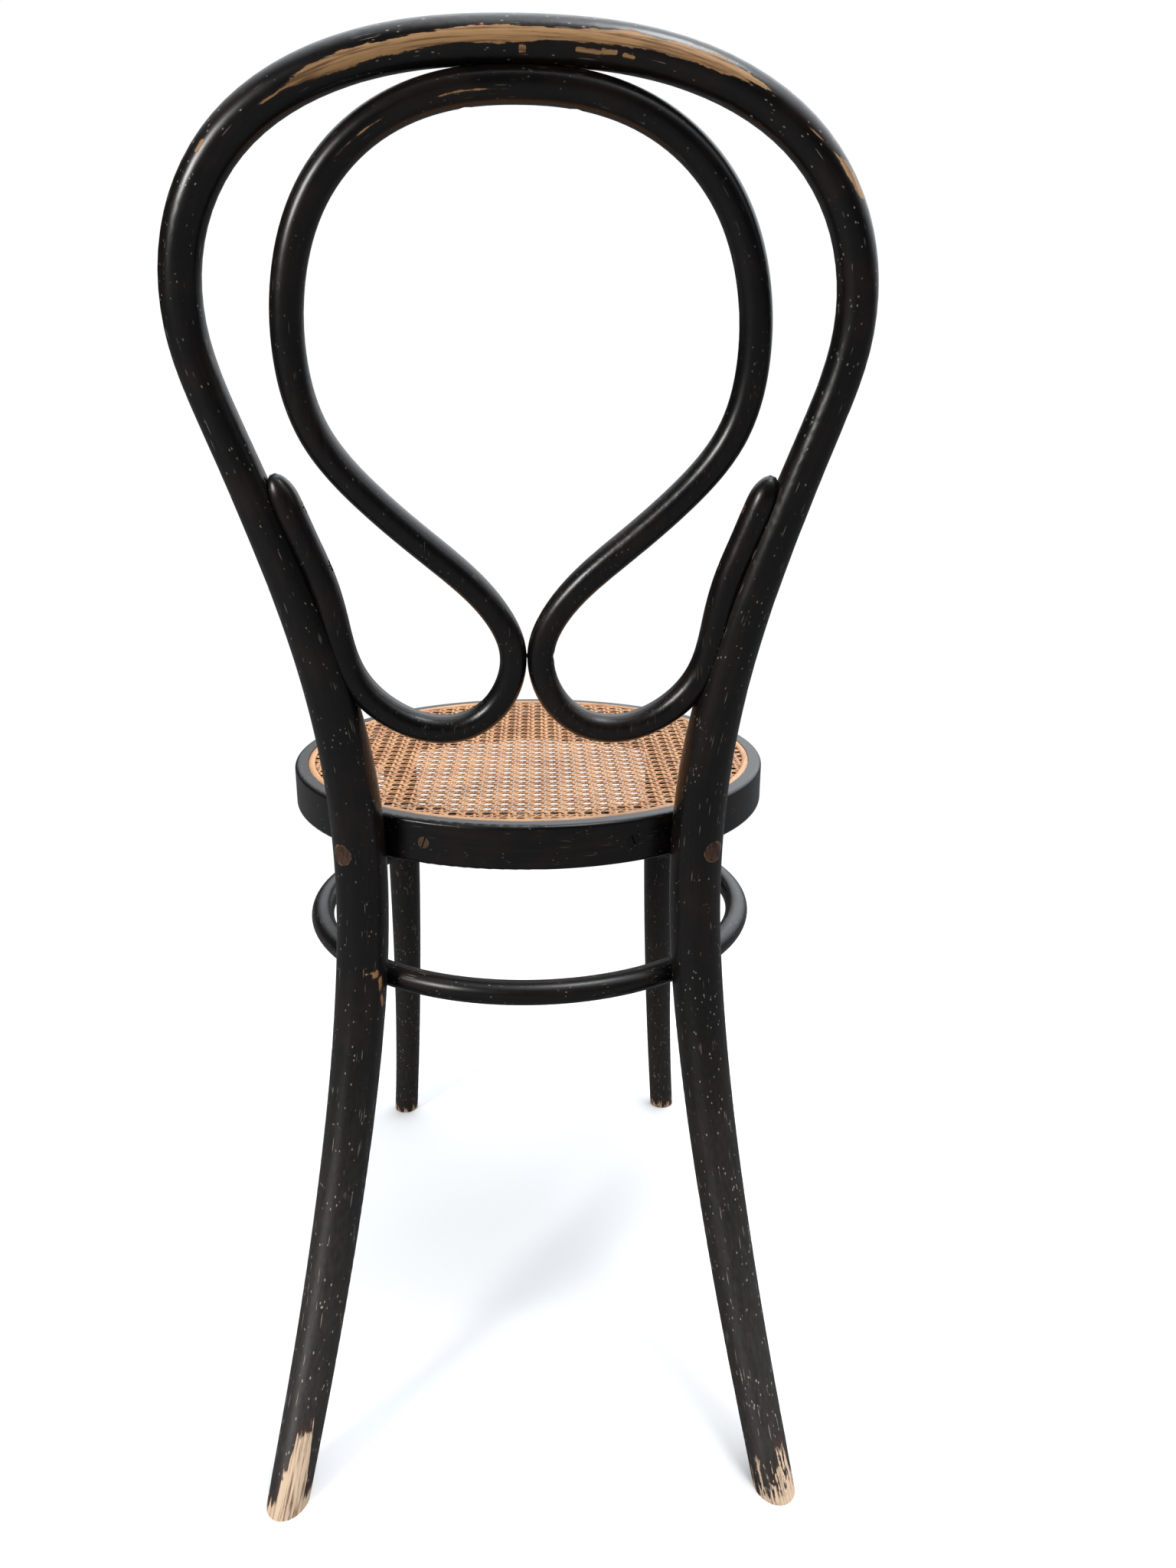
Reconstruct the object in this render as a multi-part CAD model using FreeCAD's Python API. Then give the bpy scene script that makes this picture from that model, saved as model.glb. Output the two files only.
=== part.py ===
import FreeCAD, Part
import math
import os

from FreeCAD import Placement, Rotation, Vector

# Bentwood bistro chair: one hoop for the back and rear legs, a curled inner loop,
# a round caned seat, two front legs and a foot ring. Millimetres, +Z up, front towards -Y.

# Seat ring: a round bent rail with a groove for the cane
seat_height = 463.0
seat_diameter = 406.0
ring_depth = 35.0
ring_width = 45.0
ring_arris = 3.5
ring_inner_arris = 6.0
rim_width = 11.0
groove_width = 6.0
groove_depth = 9.0
ledge_width = 8.0
ledge_fall = 2.5

# Cane sheet, its grid of eight-sided openings, and the reed that wedges it into the groove
cane_thickness = 1.8
cane_pitch = 30.0
cane_opening = 15.0
cane_margin = 8.0
reed_crown = 0.6

# Hoop: crown, flare, waist and rear legs
crown_height = 946.5
hoop_half_width = 205.0
hoop_wide_height = 800.0
hoop_fullness = 2.38
hoop_sway = 0.7
crown_rod_radius = 12.6
leg_rod_radius = 19.5
rear_toe_radius = 14.7
taper_start_height = 765.0
rear_leg_angle = 35.1
joint_notch = 3.5
back_lean = 8.9
sweep_height = 400.0
rear_toe_half_spread = 176.0
rear_toe_reach = 343.0
rear_sweep_power = 1.9
rear_spread_power = 1.55
rear_taper_power = 1.3
hoop_join_height = 712.0

# Inner loop: crown, throat, curls and the ends beside the posts
loop_half_width = 143.5
loop_wide_height = 786.0
loop_fullness = 2.3
loop_sway = 1.25
loop_rod_radius = 10.3
loop_throat_radius = 9.3
loop_crown_notch = 1.5
loop_end_notch = 6.0
throat_height = 588.0
curl_drop = 54.5
curl_centre = 58.0
curl_shoulder_height = 625.0
loop_end_height = 704.0
tip_round = 20.0
loop_join_share = 0.45
loop_section_pitch = 24.0

# Front legs
front_leg_angle = 45.0
front_leg_inset = 0.5
front_leg_radius = 16.3
front_toe_radius = 12.4
front_toe_half_spread = 144.5
front_toe_reach = 165.0
front_flare_power = 2.5
tenon_radius = 11.0
tenon_length = 20.0

# Foot ring
foot_ring_height = 330.0
foot_ring_rod_radius = 9.6
foot_ring_notch = 3.0

# Fasteners
bolt_rise = 11.0
bolt_radius = 4.0
bolt_tail = 2.0
bolt_head_radius = 8.0
bolt_head_height = 4.0
nut_across_flats = 13.0
nut_height = 6.5
washer_radius = 11.0
washer_thickness = 1.6
spot_face_depth = 1.0
plug_radius = 8.5
plug_length = 6.5
seat_screw_angle = 22.5
seat_screw_head_radius = 4.6
seat_screw_length = 32.0
small_screw_head_radius = 3.6
foot_ring_screw_length = 30.0
end_screw_length = 32.0
end_screw_heights = (642.0, 680.0)
crown_screw_length = 36.0
crown_screw_spacing = 64.0
throat_screw_length = 30.0
screw_shank_share = 0.45
screw_head_share = 0.6
screw_slot_share = 0.28
screw_head_edge = 0.4
screw_head_sink = 0.6

# Clearances and the spacing of the sections along a bent rod
rest_gap = 0.3
hole_gap = 0.2
section_pitch = 40.0
front_leg_section_pitch = 60.0
section_pole_count = 8
below_floor = 30.0

seat_radius = seat_diameter / 2
ring_bottom = seat_height - ring_depth
ring_inner_radius = seat_radius - ring_width
groove_outer_radius = seat_radius - rim_width
groove_inner_radius = groove_outer_radius - groove_width
bolt_height = ring_bottom + bolt_rise
joint_radius = seat_radius + leg_rod_radius - joint_notch
joint_x = joint_radius * math.sin(math.radians(rear_leg_angle))
joint_y = joint_radius * math.cos(math.radians(rear_leg_angle))


def smooth(fraction):
    """A rise from 0 to 1 with level ends."""
    t = min(max(fraction, 0.0), 1.0)
    return t * t * (3.0 - 2.0 * t)


def lean_y(z):
    """Depth of the hoop's centreline: leaning back above the seat, swept back below it."""
    if z >= bolt_height:
        return joint_y + (z - bolt_height) * math.tan(math.radians(back_lean))
    sweep = max(0.0, (sweep_height - z) / sweep_height)
    return joint_y + (rear_toe_reach - joint_y) * sweep ** rear_sweep_power


def superellipse(half_width, rise, base, fullness, angle):
    """A point of a crown at an angle from straight up, as half width and height."""
    turn = math.radians(angle)
    x = half_width * math.sin(turn) ** (2.0 / fullness)
    z = base + rise * math.cos(turn) ** (2.0 / fullness)
    return x, z


def hoop_x(z):
    """Half width of the hoop below its widest height."""
    if z >= bolt_height:
        fall = (hoop_wide_height - z) / (hoop_wide_height - bolt_height)
        blend = (1.0 + math.cos(math.pi * fall ** hoop_sway)) / 2.0
        return joint_x + (hoop_half_width - joint_x) * blend
    spread = max(0.0, (sweep_height - z) / sweep_height)
    return joint_x + (rear_toe_half_spread - joint_x) * spread ** rear_spread_power


def hoop_radius(z):
    """Radius of the hoop's rod, which is thickest at the seat."""
    if z >= bolt_height:
        swell = smooth((taper_start_height - z) / (taper_start_height - bolt_height))
        return crown_rod_radius + (leg_rod_radius - crown_rod_radius) * swell
    fall = max(0.0, (foot_ring_height - z) / foot_ring_height)
    return leg_rod_radius - (leg_rod_radius - rear_toe_radius) * fall ** rear_taper_power


def mirrored(half):
    """A whole centreline from its right half, which starts on the middle plane."""
    left = [Vector(-p.x, p.y, p.z) for p in reversed(half[1:])]
    return left + half


def curve_through(points):
    """A smooth curve through the points."""
    curve = Part.BSplineCurve()
    curve.interpolate(points)
    return curve


def section_poles(curve, radius_at, place):
    """The control points of a rod's round section, square to the curve at a length along it."""
    length = curve.length()
    inside = min(max(place, 0.0), length)
    at = curve.parameterAtDistance(inside, curve.FirstParameter)
    along = Vector(*curve.tangent(at)[0])
    centre = curve.value(at) + along * (place - inside)
    turn = Rotation(Vector(0, 1, 0), Vector(), along, "ZXY")
    step = 2.0 * math.pi / section_pole_count
    first = step / 2.0
    reach = 3.0 * radius_at(centre, inside) / (2.0 + math.cos(step))
    angles = [first + step * i for i in range(section_pole_count)]
    return [centre + turn.multVec(Vector(math.cos(a), math.sin(a), 0) * reach) for a in angles]


def skin(curve, radius_at, places):
    """A solid whose side passes through the round sections at some lengths along a curve."""
    nudge = 0.5
    rows = [section_poles(curve, radius_at, place) for place in places]
    ends = [(section_poles(curve, radius_at, place - nudge),
             section_poles(curve, radius_at, place + nudge)) for place in (places[0], places[-1])]
    poles = []
    for i in range(section_pole_count):
        start, finish = [(after[i] - before[i]) * (0.5 / nudge) for before, after in ends]
        line = Part.BSplineCurve()
        line.interpolate(Points=[row[i] for row in rows], Parameters=places,
                         InitialTangent=start, FinalTangent=finish, Scale=False)
        poles.append(line.getPoles())
    surface = Part.BSplineSurface()
    around = [float(i) for i in range(section_pole_count + 1)]
    surface.buildFromPolesMultsKnots(poles, [1] * len(around), line.getMultiplicities(),
                                     around, line.getKnots(), True, False, 3, 3)
    side = surface.toShape()
    rims = [e for e in side.Edges if e.isClosed()]
    caps = [Part.Face(Part.Wire([rim])) for rim in rims]
    shell = Part.makeShell([side] + caps)
    shell.sewShape()
    solid = Part.Solid(shell)
    if solid.Volume < 0:
        solid.reverse()
    return solid


def span_places(start, end, length, pitch, tip):
    """Lengths along a curve where a span has its sections, closer together at a rounded tip."""
    count = max(4, int(round((end - start) / pitch)))
    places = [start + (end - start) * i / count for i in range(count + 1)]
    if tip <= 0.0:
        return places
    round_off = [tip * (1.0 - math.cos(math.radians(a))) for a in (0.0, 20.0, 40.0, 60.0, 78.0)]
    near = round_off + [tip] if start == 0.0 else []
    far = [length - tip] + [length - r for r in reversed(round_off)] if end == length else []
    low = 1.3 * tip if near else -1.0
    high = length - 1.3 * tip if far else length + 1.0
    return near + [p for p in places if low < p < high] + far


def bent_rod(curve, radius_at, joins=(), pitch=section_pitch, tip=0.0):
    """Spans of a round rod along a curve, parted at some lengths along it. radius_at gives the
    radius at a point of the curve. The rod's ends are rounded over the length tip."""
    length = curve.length()

    def radius(centre, place):
        full = radius_at(centre)
        edge = min(place, length - place)
        if edge >= tip:
            return full
        return full * max(0.22, math.sqrt(1.0 - (1.0 - edge / tip) ** 2))

    marks = [0.0] + list(joins) + [length]
    return [skin(curve, radius, span_places(start, end, length, pitch, tip))
            for start, end in zip(marks, marks[1:])]


def both_joins(curve, point):
    """Lengths along a mirrored curve at a point of its right half and at its mirror image."""
    reach = curve.length(curve.parameter(point), curve.LastParameter)
    return [reach, curve.length() - reach]


def carved(spans, tools):
    """The one solid of a rod's spans without the tools."""
    pieces = []
    for span in spans:
        near = [tool for tool in tools if span.BoundBox.intersect(tool.BoundBox)]
        pieces.append(span.cut(Part.makeCompound(near)) if near else span)
    whole = pieces[0]
    for piece in pieces[1:]:
        whole = whole.fuse(piece)
    return single(whole)


def single(shape):
    """The one solid of a shape."""
    solids = shape.Solids
    assert len(solids) == 1, f"{len(solids)} solids"
    return solids[0]


def slab(low, high, reach=700.0):
    """A wide block between two heights, used to trim rods level."""
    block = Part.makeBox(2 * reach, 2 * reach, high - low)
    block.translate(Vector(-reach, -reach, low))
    return block


def hoop_half():
    """Centreline points of the hoop's right half, from the crown down to below the floor."""
    rise = crown_height - hoop_wide_height
    points = []
    for angle in (0.0, 14.0, 32.0, 52.0, 72.0):
        x, z = superellipse(hoop_half_width, rise, hoop_wide_height, hoop_fullness, angle)
        points.append(Vector(x, lean_y(z), z))
    drop = hoop_wide_height - bolt_height
    for share in (0.02, 0.17, 0.34, 0.52, 0.72, 1.0):
        z = hoop_wide_height - drop * share
        points.append(Vector(hoop_x(z), lean_y(z), z))
    for share in (0.88, 0.7, 0.52, 0.34, 0.17, 0.0):
        z = bolt_height * share
        points.append(Vector(hoop_x(z), lean_y(z), z))
    last, before = points[-1], points[-2]
    step = (last - before).normalize()
    points.append(last + step * below_floor)
    return points


def beside_post(z, distance):
    """A point at a distance from the hoop's centreline, on its inner side, and the way there."""
    run = 1.0
    along = Vector(hoop_x(z + run) - hoop_x(z - run), 0.0, 2.0 * run).normalize()
    inward = Vector(-along.z, 0.0, along.x)
    flat = Vector(hoop_x(z), 0.0, z) + inward * distance
    return Vector(flat.x, lean_y(flat.z), flat.z), inward


def loop_side_point(share):
    """A point of the loop's right side, at a share of the fall from its widest place to the
    throat."""
    throat_x = loop_throat_radius + rest_gap / 2
    blend = (1.0 + math.cos(math.pi * share ** loop_sway)) / 2.0
    z = loop_wide_height + (throat_height - loop_wide_height) * share
    return Vector(throat_x + (loop_half_width - throat_x) * blend, lean_y(z), z)


def beside_post_loop(z):
    """A point of the loop's right end, let into the inner side of the post."""
    return beside_post(z, hoop_radius(z) + loop_rod_radius - loop_end_notch)[0]


def loop_half():
    """Centreline points of the loop's right half: crown, throat, curl and the end by the post."""
    between_crowns = crown_rod_radius + loop_rod_radius - loop_crown_notch
    top = crown_height - between_crowns * math.cos(math.radians(back_lean))
    flat = []
    for angle in (0.0, 16.0, 36.0, 58.0, 78.0):
        rise = top - loop_wide_height
        flat.append(superellipse(loop_half_width, rise, loop_wide_height, loop_fullness, angle))
    for share in (0.04, 0.24, loop_join_share, 0.64, 0.82):
        point = loop_side_point(share)
        flat.append((point.x, point.z))
    throat_x = loop_throat_radius + rest_gap / 2
    for angle in (0.0, 30.0, 60.0, 90.0):
        turn = math.radians(angle)
        x = curl_centre - (curl_centre - throat_x) * math.cos(turn)
        flat.append((x, throat_height - curl_drop * math.sin(turn)))
    bottom = throat_height - curl_drop
    reach = beside_post_loop(curl_shoulder_height).x - curl_centre
    for angle in (62.0, 34.0):
        turn = math.radians(angle)
        x = curl_centre + reach * math.cos(turn)
        flat.append((x, bottom + (curl_shoulder_height - bottom) * (1.0 - math.sin(turn))))
    points = [Vector(x, lean_y(z), z) for x, z in flat]
    for share in (0.0, 0.5, 1.0):
        z = curl_shoulder_height + (loop_end_height - curl_shoulder_height) * share
        points.append(beside_post_loop(z))
    return points


def loop_radius(centre):
    """Radius of the loop's rod, which is thinner at the throat."""
    if centre.z >= loop_wide_height:
        return loop_rod_radius
    swell = smooth(abs(centre.x) / curl_centre)
    return loop_throat_radius + (loop_rod_radius - loop_throat_radius) * swell


def front_leg_point(z):
    """A point of the right front leg's centreline."""
    seat = seat_radius - front_leg_inset - front_leg_radius
    top_x = seat * math.sin(math.radians(front_leg_angle))
    top_y = seat * math.cos(math.radians(front_leg_angle))
    down = (ring_bottom - z) / ring_bottom
    x = top_x + (front_toe_half_spread - top_x) * max(0.0, down) ** front_flare_power
    return Vector(x, -(top_y + (front_toe_reach - top_y) * down), z)


def front_leg_rod_radius(z):
    """Radius of a front leg's rod."""
    down = smooth((ring_bottom - z) / ring_bottom)
    return front_leg_radius + (front_toe_radius - front_leg_radius) * down


def foot_ring_fit():
    """Centre and radius of the foot ring, which is let into the inside of all four legs."""
    rear = Vector(hoop_x(foot_ring_height), lean_y(foot_ring_height), 0)
    front = front_leg_point(foot_ring_height)
    rear_gap = leg_rod_radius
    front_gap = front_leg_rod_radius(foot_ring_height)
    low, high = front.y, rear.y
    while high - low > 1e-6:
        middle = (low + high) / 2
        to_rear = math.hypot(rear.x, rear.y - middle) - rear_gap
        to_front = math.hypot(front.x, front.y - middle) - front_gap
        if to_rear > to_front:
            low = middle
        else:
            high = middle
    return middle, to_rear + foot_ring_notch - foot_ring_rod_radius


def foot_ring_contacts():
    """The four places where the foot ring meets a leg, as unit vectors from the ring's centre."""
    middle = foot_ring_fit()[0]
    rear = Vector(hoop_x(foot_ring_height), lean_y(foot_ring_height) - middle, 0).normalize()
    front = front_leg_point(foot_ring_height) - Vector(0, middle, foot_ring_height)
    front.normalize()
    return [Vector(side * way.x, way.y, 0) for way in (rear, front) for side in (1, -1)]


def rod(start, way, radius, length):
    """A cylinder from a point along a direction."""
    return Part.makeCylinder(radius, length, start, way)


def screw(head, way, head_radius, length, slotted=True, gap=0.0):
    """A countersunk wood screw from the middle of its head along a direction.
    With a gap it is the hole for that screw, which runs out past the head."""
    top = -head_radius if gap > 0 else 0.0
    core = head_radius * screw_shank_share
    cone = head_radius * screw_head_share
    slot_width = head_radius * screw_slot_share
    outline = [
        Vector(0, 0, top),
        Vector(head_radius + gap, 0, top),
        Vector(head_radius + gap, 0, screw_head_edge),
        Vector(core + gap, 0, cone + gap),
        Vector(core + gap, 0, length - 3 * core + gap),
        Vector(0, 0, length + 2 * gap),
        Vector(0, 0, top),
    ]
    body = Part.Face(Part.makePolygon(outline)).revolve(Vector(), Vector(0, 0, 1), 360)
    if slotted:
        slot = Part.makeBox(slot_width, 2.4 * head_radius, slot_width)
        slot.translate(Vector(-slot_width / 2, -1.2 * head_radius, 0))
        body = body.cut(slot)
    body.Placement = Placement(head, Rotation(Vector(0, 0, 1), way))
    return body


def wood_screws(seats, head_radius, length):
    """The screws at some seats, and their holes."""
    screws = [screw(head, way, head_radius, length) for head, way in seats]
    holes = [screw(head, way, head_radius, length, False, hole_gap) for head, way in seats]
    return screws, holes


def rear_leg_way(side):
    """The level direction from the seat's middle to a rear leg."""
    turn = math.radians(rear_leg_angle)
    return Vector(side * math.sin(turn), math.cos(turn), 0)


def leg_bolt_parts(side, leg):
    """Bolt, washer, nut, wood plug and the holes of the joint of a rear leg and the seat ring."""
    out = rear_leg_way(side)
    inward = out * -1
    height = Vector(0, 0, bolt_height)
    head_seat = joint_radius + leg_rod_radius - plug_length - bolt_head_height
    spot = ring_inner_radius + spot_face_depth
    nut_face = spot - washer_thickness
    shank = head_seat - nut_face + nut_height + bolt_tail
    bolt = rod(out * head_seat + height, inward, bolt_radius, shank)
    bolt = bolt.fuse(rod(out * head_seat + height, out, bolt_head_radius, bolt_head_height))
    bore = bolt_radius + hole_gap
    washer = rod(out * spot + height, inward, washer_radius, washer_thickness)
    washer = washer.cut(rod(out * spot + height, inward, bore, washer_thickness))
    corner = nut_across_flats / math.sqrt(3.0)
    corners = [Vector(corner * math.cos(math.radians(a)), corner * math.sin(math.radians(a)), 0)
               for a in range(0, 361, 60)]
    nut = Part.Face(Part.makePolygon(corners)).extrude(Vector(0, 0, nut_height))
    nut.Placement = Placement(out * nut_face + height, Rotation(Vector(0, 0, 1), inward))
    nut = nut.cut(rod(out * nut_face + height, inward, bore, nut_height))
    plug_start = head_seat + bolt_head_height + rest_gap
    plug = rod(out * plug_start + height, out, plug_radius, 3 * plug_length).common(leg)
    far = joint_radius + 3 * leg_rod_radius
    holes = [
        rod(out * (ring_inner_radius - ring_inner_arris) + height, out, bore, far),
        rod(out * head_seat + height, out, plug_radius + hole_gap, far),
        rod(out * spot + height, inward, washer_radius + hole_gap, ring_width / 2),
    ]
    return bolt, washer, nut, plug, holes


def seat_ring_blank():
    """The seat ring before its sockets and holes."""
    ledge = seat_height - cane_thickness
    outline = [
        (ring_inner_radius, ring_bottom),
        (seat_radius, ring_bottom),
        (seat_radius, seat_height),
        (groove_outer_radius, seat_height),
        (groove_outer_radius, seat_height - groove_depth),
        (groove_inner_radius, seat_height - groove_depth),
        (groove_inner_radius, ledge),
        (groove_inner_radius - ledge_width, ledge),
        (ring_inner_radius, ledge - ledge_fall),
        (ring_inner_radius, ring_bottom),
    ]
    face = Part.Face(Part.makePolygon([Vector(r, 0, z) for r, z in outline]))
    ring = face.revolve(Vector(), Vector(0, 0, 1), 360)
    outer = [e for e in ring.Edges if abs(e.BoundBox.XMax - seat_radius) < 0.01
             and e.BoundBox.ZLength < 0.01]
    ring = ring.makeFillet(ring_arris, outer)
    inner = [e for e in ring.Edges if abs(e.BoundBox.XMax - ring_inner_radius) < 0.01
             and e.BoundBox.ZLength < 0.01]
    return ring.makeFillet(ring_inner_arris, inner)


def cane_sheet():
    """The caned panel, lying on the ledge of the ring, with a grid of eight-sided openings."""
    rim = groove_inner_radius - hole_gap
    low = seat_height - cane_thickness
    corner = cane_opening / 2 / math.cos(math.radians(22.5))
    angles = [math.radians(22.5 + 45.0 * i) for i in range(9)]
    opening = [Vector(corner * math.cos(a), corner * math.sin(a), low) for a in angles]
    steps = range(-int(rim / cane_pitch), int(rim / cane_pitch) + 1)
    reach = rim - ledge_width - cane_margin - corner
    wires = [Part.Wire(Part.makeCircle(rim, Vector(0, 0, low)))]
    for column in steps:
        for row in steps:
            place = Vector(column * cane_pitch, row * cane_pitch, 0)
            if place.Length < reach:
                wires.append(Part.makePolygon([place + point for point in opening]))
    return Part.Face(wires, "Part::FaceMakerBullseye").extrude(Vector(0, 0, cane_thickness))


def cane_reed():
    """The round-topped reed that holds the cane down in its groove."""
    inner = groove_inner_radius + rest_gap
    outer = groove_outer_radius - rest_gap
    low = seat_height - groove_depth + rest_gap
    crown = Vector((inner + outer) / 2, 0, seat_height + reed_crown)
    shoulder = seat_height - reed_crown
    base = Part.makePolygon([Vector(inner, 0, shoulder), Vector(inner, 0, low),
                             Vector(outer, 0, low), Vector(outer, 0, shoulder)])
    cap = Part.Arc(Vector(outer, 0, shoulder), crown, Vector(inner, 0, shoulder)).toShape()
    face = Part.Face(Part.Wire(base.Edges + [cap]))
    return face.revolve(Vector(), Vector(0, 0, 1), 360)


def build():
    """Every node of the chair by name."""
    middle, foot_ring_radius = foot_ring_fit()
    ring_centre = Vector(0, middle, foot_ring_height)
    up = Vector(0, 0, 1)
    sides = (1, -1)

    hoop_curve = curve_through(mirrored(hoop_half()))
    bend = Vector(hoop_x(hoop_join_height), lean_y(hoop_join_height), hoop_join_height)
    hoop_spans = bent_rod(hoop_curve, lambda p: hoop_radius(p.z), both_joins(hoop_curve, bend))
    loop_curve = curve_through(mirrored(loop_half()))
    loop_joins = both_joins(loop_curve, loop_side_point(loop_join_share))
    loop_spans = bent_rod(loop_curve, loop_radius, loop_joins, loop_section_pitch, tip_round)
    loop_beds = bent_rod(loop_curve, lambda p: loop_radius(p) + rest_gap, loop_joins,
                         loop_section_pitch, tip_round)

    bolted = [leg_bolt_parts(1, hoop_spans[-1]), leg_bolt_parts(-1, hoop_spans[0])]
    joint_holes = [hole for parts in bolted for hole in parts[4]]

    turn = math.radians(seat_screw_angle)
    seat_seats = [(Vector(side * seat_radius * math.sin(turn), seat_radius * math.cos(turn),
                          seat_height - ring_depth / 2),
                   Vector(-side * math.sin(turn), -math.cos(turn), 0)) for side in sides]
    seat_screws, seat_holes = wood_screws(seat_seats, seat_screw_head_radius, seat_screw_length)

    inner_side = foot_ring_radius - foot_ring_rod_radius + screw_head_sink
    ring_seats = [(ring_centre + way * inner_side, way) for way in foot_ring_contacts()]
    ring_screws, ring_holes = wood_screws(ring_seats, small_screw_head_radius,
                                          foot_ring_screw_length)

    end_seats = []
    for z in end_screw_heights:
        for side in sides:
            flush = hoop_radius(z) + 2 * loop_rod_radius - loop_end_notch - screw_head_sink
            head, inward = beside_post(z, flush)
            end_seats.append((Vector(side * head.x, head.y, head.z),
                              Vector(-side * inward.x, 0, -inward.z)))
    end_screws, end_holes = wood_screws(end_seats, small_screw_head_radius, end_screw_length)

    lean = math.radians(back_lean)
    upward = Vector(0, math.sin(lean), math.cos(lean))
    crown = []
    for side in sides:
        on_loop = loop_curve.value(loop_curve.parameterAtDistance(
            loop_curve.length() / 2 + side * crown_screw_spacing / 2, loop_curve.FirstParameter))
        crown.append((on_loop - upward * (loop_rod_radius - screw_head_sink), upward))
    crown_screws, crown_holes = wood_screws(crown, small_screw_head_radius, crown_screw_length)

    throat_start = -(rest_gap / 2 + 2 * loop_throat_radius - screw_head_sink)
    throat = [(Vector(throat_start, lean_y(throat_height), throat_height), Vector(1, 0, 0))]
    throat_screws, throat_holes = wood_screws(throat, small_screw_head_radius,
                                              throat_screw_length)

    seat_bed = Part.makeCylinder(seat_radius + rest_gap, ring_depth + 2 * rest_gap,
                                 Vector(0, 0, ring_bottom - rest_gap))
    foot_bed = Part.makeTorus(foot_ring_radius, foot_ring_rod_radius + rest_gap, ring_centre)
    under_floor = slab(-4 * below_floor, 0.0)
    hoop = carved(hoop_spans, [under_floor, seat_bed, foot_bed] + loop_beds + joint_holes
                  + ring_holes + end_holes + crown_holes)
    loop = carved(loop_spans, end_holes + crown_holes + throat_holes)

    sockets = []
    front_legs = []
    tops = [Vector(side * front_leg_point(ring_bottom).x, front_leg_point(ring_bottom).y,
                   ring_bottom) for side in sides]
    for side, top in zip(sides, tops):
        sockets.append(rod(top, up, tenon_radius + hole_gap, tenon_length + rest_gap))
        heights = [ring_bottom * share for share in (1.1, 0.9, 0.7, 0.52, 0.36, 0.22, 0.1, 0.0)]
        line = [front_leg_point(z) for z in heights]
        line.append(front_leg_point(-below_floor))
        curve = curve_through([Vector(side * p.x, p.y, p.z) for p in line])
        leg = bent_rod(curve, lambda p: front_leg_rod_radius(p.z),
                       pitch=front_leg_section_pitch)[0]
        leg = leg.common(slab(0.0, ring_bottom))
        leg = leg.fuse(rod(top - up, up, tenon_radius, tenon_length + 1.0))
        front_legs.append(carved([leg], [foot_bed] + ring_holes))

    ring = carved([seat_ring_blank()], sockets + joint_holes + seat_holes)
    foot_ring = Part.makeTorus(foot_ring_radius, foot_ring_rod_radius, ring_centre)
    foot_ring = carved([foot_ring], ring_holes)

    return {
        "back_hoop": [hoop],
        "inner_loop": [loop],
        "seat_ring": [ring],
        "cane_webbing": [cane_sheet()],
        "cane_reed": [cane_reed()],
        "front_leg_right": [front_legs[0]],
        "front_leg_left": [front_legs[1]],
        "foot_ring": [foot_ring],
        "leg_bolts": [parts[0] for parts in bolted],
        "leg_bolt_washers": [parts[1] for parts in bolted],
        "leg_bolt_nuts": [parts[2] for parts in bolted],
        "leg_plugs": [parts[3] for parts in bolted],
        "seat_ring_screws": seat_screws,
        "foot_ring_screws": ring_screws,
        "loop_end_screws": end_screws,
        "crown_screws": crown_screws,
        "throat_screw": throat_screws,
    }


def centred(nodes):
    """The nodes with the origin on the floor, under the middle of the whole chair."""
    whole = Part.makeCompound([solid for solids in nodes.values() for solid in solids])
    box = whole.optimalBoundingBox(False)
    shift = Vector(-box.Center.x, -box.Center.y, 0)
    placed = {}
    for name, solids in nodes.items():
        shape = Part.makeCompound(solids) if len(solids) > 1 else solids[0]
        placed[name] = shape.translated(shift)
    return placed


os.makedirs("parts", exist_ok=True)
for name, shape in centred(build()).items():
    shape.exportStep(os.path.join("parts", name + ".step"))
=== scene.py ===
"""A bentwood bistro chair: black bent rods, a woven cane seat, wood plugs and old screws."""
from __future__ import annotations

import logging
import math
from dataclasses import dataclass
from enum import Enum
from functools import reduce

import bpy
import numpy as np
from mathutils import Matrix, Vector

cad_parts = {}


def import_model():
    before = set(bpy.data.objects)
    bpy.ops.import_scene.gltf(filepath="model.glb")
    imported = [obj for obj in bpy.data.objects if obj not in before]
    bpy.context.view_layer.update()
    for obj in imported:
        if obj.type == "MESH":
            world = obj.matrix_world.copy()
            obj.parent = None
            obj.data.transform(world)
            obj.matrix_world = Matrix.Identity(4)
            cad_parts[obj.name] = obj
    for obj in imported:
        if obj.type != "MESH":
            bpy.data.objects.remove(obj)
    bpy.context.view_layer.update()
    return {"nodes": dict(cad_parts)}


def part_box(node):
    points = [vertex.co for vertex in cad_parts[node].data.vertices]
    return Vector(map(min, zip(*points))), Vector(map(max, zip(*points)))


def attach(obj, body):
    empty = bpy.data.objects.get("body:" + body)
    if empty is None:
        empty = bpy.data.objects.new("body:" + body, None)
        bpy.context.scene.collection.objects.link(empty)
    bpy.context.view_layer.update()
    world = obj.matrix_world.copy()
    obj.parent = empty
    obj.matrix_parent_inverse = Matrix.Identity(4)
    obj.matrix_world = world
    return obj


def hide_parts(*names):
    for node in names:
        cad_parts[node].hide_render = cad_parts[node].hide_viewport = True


log = logging.getLogger("chair")

BODY = "root"
STRAND_MAP = "strand"
# How far out from straight back the plugs' faces look.
PLUG_TURN = math.radians(35.1)
DEGREES = 180.0 / math.pi
Triple = tuple[float, float, float]
Colour = Triple
Socket = bpy.types.NodeSocket


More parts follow.
